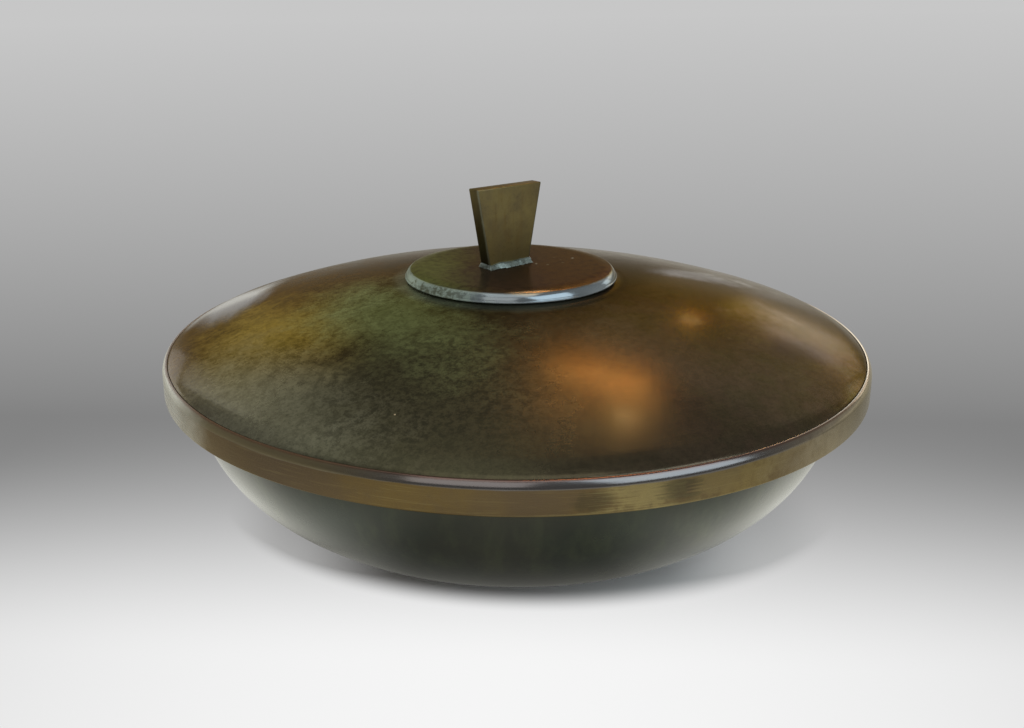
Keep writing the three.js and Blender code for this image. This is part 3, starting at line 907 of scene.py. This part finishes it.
class COVEREDBOWL_OT_stage(bpy.types.Operator):
    """Lay the table, hang the lamps and place the camera"""

    bl_idname = "covered_bowl.stage"
    bl_label = "Stage"

    def execute(self, context):
        self.floor()
        self.world()
        self.lamps()
        self.camera()
        return {"FINISHED"}

    @staticmethod
    def floor():
        """A pale table: painted where the bowl shades it, else a glow of painted light and shade as it is
        written, mirrored darker in front of the bowl and lighter beside it.
        """
        bpy.ops.object.select_all(action="DESELECT")
        bpy.ops.mesh.primitive_circle_add(vertices=128, radius=TABLE_RADIUS, fill_type="NGON")
        table = new_piece("table")
        s = material("table_paint")
        shade = table_shade(s)
        warmed = s.add("ShaderNodeCombineColor", values={0: shade * 1.03, 1: shade, 2: shade * 0.95})
        values = {"Base Color": warmed, "Roughness": 0.8, "Specular IOR Level": 0.1}
        paint = s.add("ShaderNodeBsdfPrincipled", values=values)
        mirror_ray = s.math("MAXIMUM", s.ray("Glossy"), s.ray("Transmission"))
        depth = s.along(AWAY)
        side = s.math("ABSOLUTE", s.along(RIGHT))
        # Painted reflection: the table as mirrored is darker in front of the bowl and lighter beside it
        mirrored_shade_ahead = s.step(depth, -0.02, -0.06) * s.step(depth, -0.22, -0.10) * s.step(side, 0.09, 0.03)
        mirrored_light_beside = 0.85 * s.step(side, 0.045, 0.11) * s.step(depth, -0.10, -0.03)
        lit = shade * (1.0 + mirror_ray * (mirrored_light_beside - mirrored_shade_ahead * 0.8))
        color = s.add("ShaderNodeCombineColor", values={0: lit, 1: lit, 2: lit * (1.0 - mirror_ray * 0.06)})
        glow = s.add("ShaderNodeEmission", values={"Color": color})
        mirrored = mirror_ray * s.math("MAXIMUM", s.step(s.radius(), 0.070, 0.115), mirrored_shade_ahead)
        seen = s.math("MAXIMUM", s.ray("Camera") * clear_of_shadow(s), mirrored)
        mixed = s.add("ShaderNodeMixShader", values={0: seen, 1: paint, 2: glow})
        s.add("ShaderNodeOutputMaterial", values={"Surface": mixed})
        table.data.materials.append(s.owner)

    @staticmethod
    def world():
        """Air that is lightest at the far horizon, and dim overhead and on the near side."""
        world = bpy.data.worlds.new("studio_air")
        s = Shader(world, "Generated")
        far = (HORIZON, HORIZON, HORIZON)
        near = (0.23, 0.225, 0.22)
        overhead = (0.27, 0.27, 0.27)
        level = s.mix(s.step(s.along(AWAY), 0.35, -0.35), far, near)
        color = s.mix(s.step(s.axis(2), 0.0, 0.85), level, overhead)
        air = s.add("ShaderNodeBackground", values={"Color": color})
        s.add("ShaderNodeOutputWorld", values={"Surface": air})
        bpy.context.scene.world = world

    @staticmethod
    def lamp(name, azimuth, elevation, distance, width, height, power, color):
        """An area lamp aimed at the middle of the lid, its azimuth in degrees clockwise from AWAY."""
        turn = math.radians(azimuth)
        level = AWAY * math.cos(turn) + RIGHT * math.sin(turn)
        rise = math.radians(elevation)
        place = distance * (level * math.cos(rise) + Vector((0.0, 0.0, math.sin(rise))))
        data = bpy.data.lights.new(name, "AREA")
        data.shape = "RECTANGLE"
        data.size = width
        data.size_y = height
        data.energy = power
        data.color = color
        holder = bpy.data.objects.new(name, data)
        holder.location = place + Vector((0.0, 0.0, BAND_TOP_Z))
        holder.rotation_euler = (-place).to_track_quat("-Z", "Y").to_euler()
        holder.visible_camera = False
        bpy.context.collection.objects.link(holder)

    def lamps(self):
        """The windows, soft lights and small warm lamps that the lid mirrors."""
        self.lamp("soft_front", 180, 68, 1.4, 1.0, 0.8, 2.7, (1.0, 0.99, 0.97))
        self.lamp("window_right", 131, 32, 1.3, 0.95, 0.9, 7.2, (0.74, 0.88, 1.0))
        self.lamp("window_left", -168, 33, 1.4, 0.8, 0.8, 2.1, (1.0, 0.94, 0.92))
        self.lamp("soft_left", -66, 68, 1.4, 0.9, 0.9, 1.3, (0.96, 1.0, 0.97))
        self.lamp("window_left_low", -48, 8, 1.3, 0.5, 0.35, 1.0, (0.92, 0.96, 1.0))
        self.lamp("window_left_back", -41, 29, 1.4, 0.35, 0.55, 0.6, (0.96, 0.98, 1.0))
        self.lamp("window_back_right", 52, 12, 1.4, 0.3, 0.4, 0.9, (0.85, 0.93, 1.0))
        self.lamp("soft_right", 32, 24, 1.5, 1.0, 1.0, 1.5, (0.98, 0.97, 1.0))
        self.lamp("window_right_low", 33, 14, 1.4, 0.5, 0.25, 0.9, (1.0, 1.0, 1.0))
        self.lamp("warm_lamp", 17.0, 48.5, 1.0, 0.24, 0.08, 0.95, (1.0, 0.42, 0.10))
        self.lamp("warm_lamp_low", 10.3, 58.8, 1.0, 0.06, 0.05, 0.07, (1.0, 0.42, 0.10))
        self.lamp("warm_spark", 22.8, 24.7, 1.0, 0.04, 0.04, 0.09, (1.0, 0.72, 0.36))
        self.lamp("warm_spark_low", 28, 56, 0.96, 0.03, 0.015, 0.17, (1.0, 0.68, 0.30))

    @staticmethod
    def camera():
        """The place and lens from which the photograph was taken, as fitted to it."""
        data = bpy.data.cameras.new("photo_camera")
        data.sensor_width = SENSOR_WIDTH
        data.lens = SENSOR_WIDTH * FOCAL_PIXELS / PHOTO_WIDTH
        data.shift_x = 0.5 - CENTRE_PIXEL_X / PHOTO_WIDTH
        data.clip_start = CAMERA_CLIP
        camera = bpy.data.objects.new("photo_camera", data)
        place = Vector((0.0, 0.0, CAMERA_HEIGHT)) - AWAY * CAMERA_DISTANCE
        turn = Matrix.Rotation(CAMERA_AZIMUTH + CAMERA_TURN, 4, "Z")
        tilt = Matrix.Rotation(math.pi / 2 - CAMERA_TILT, 4, "X")
        lean = Matrix.Rotation(CAMERA_ROLL, 4, "Z")
        camera.matrix_world = Matrix.Translation(place) @ turn @ tilt @ lean
        bpy.context.collection.objects.link(camera)
        bpy.context.scene.camera = camera
        bpy.context.scene.view_settings.view_transform = "Standard"


class COVEREDBOWL_PT_pieces(bpy.types.Panel):
    """Lists the bowl's pieces, sizes and colours"""

    bl_label = "Covered Bowl"
    bl_space_type = "VIEW_3D"
    bl_region_type = "UI"
    bl_category = "Covered Bowl"

    def draw(self, context):
        for operator in OPERATORS:
            self.layout.operator(operator.bl_idname)
        for group in (context.scene.covered_bowl_sizes, context.scene.covered_bowl_finish):
            for name in group.bl_rna.properties.keys()[2:]:  # the first two are Blender's own
                self.layout.prop(group, name)


OPERATORS = (
    COVEREDBOWL_OT_bowl,
    COVEREDBOWL_OT_foot,
    COVEREDBOWL_OT_band,
    COVEREDBOWL_OT_dome,
    COVEREDBOWL_OT_disc,
    COVEREDBOWL_OT_finial,
    COVEREDBOWL_OT_stage,
)
CLASSES = (COVEREDBOWL_PG_sizes, COVEREDBOWL_PG_finish, *OPERATORS, COVEREDBOWL_PT_pieces)


def register():
    for cls in CLASSES:
        bpy.utils.register_class(cls)
    bpy.types.Scene.covered_bowl_sizes = PointerProperty(type=COVEREDBOWL_PG_sizes)
    bpy.types.Scene.covered_bowl_finish = PointerProperty(type=COVEREDBOWL_PG_finish)


def unregister():
    del bpy.types.Scene.covered_bowl_finish
    del bpy.types.Scene.covered_bowl_sizes
    for cls in reversed(CLASSES):
        bpy.utils.unregister_class(cls)


def main():
    register()
    bpy.ops.covered_bowl.bowl()
    bpy.ops.covered_bowl.foot()
    bpy.ops.covered_bowl.band()
    bpy.ops.covered_bowl.dome()
    bpy.ops.covered_bowl.disc()
    bpy.ops.covered_bowl.finial()
    bpy.ops.covered_bowl.stage()


if __name__ == "__main__":
    main()
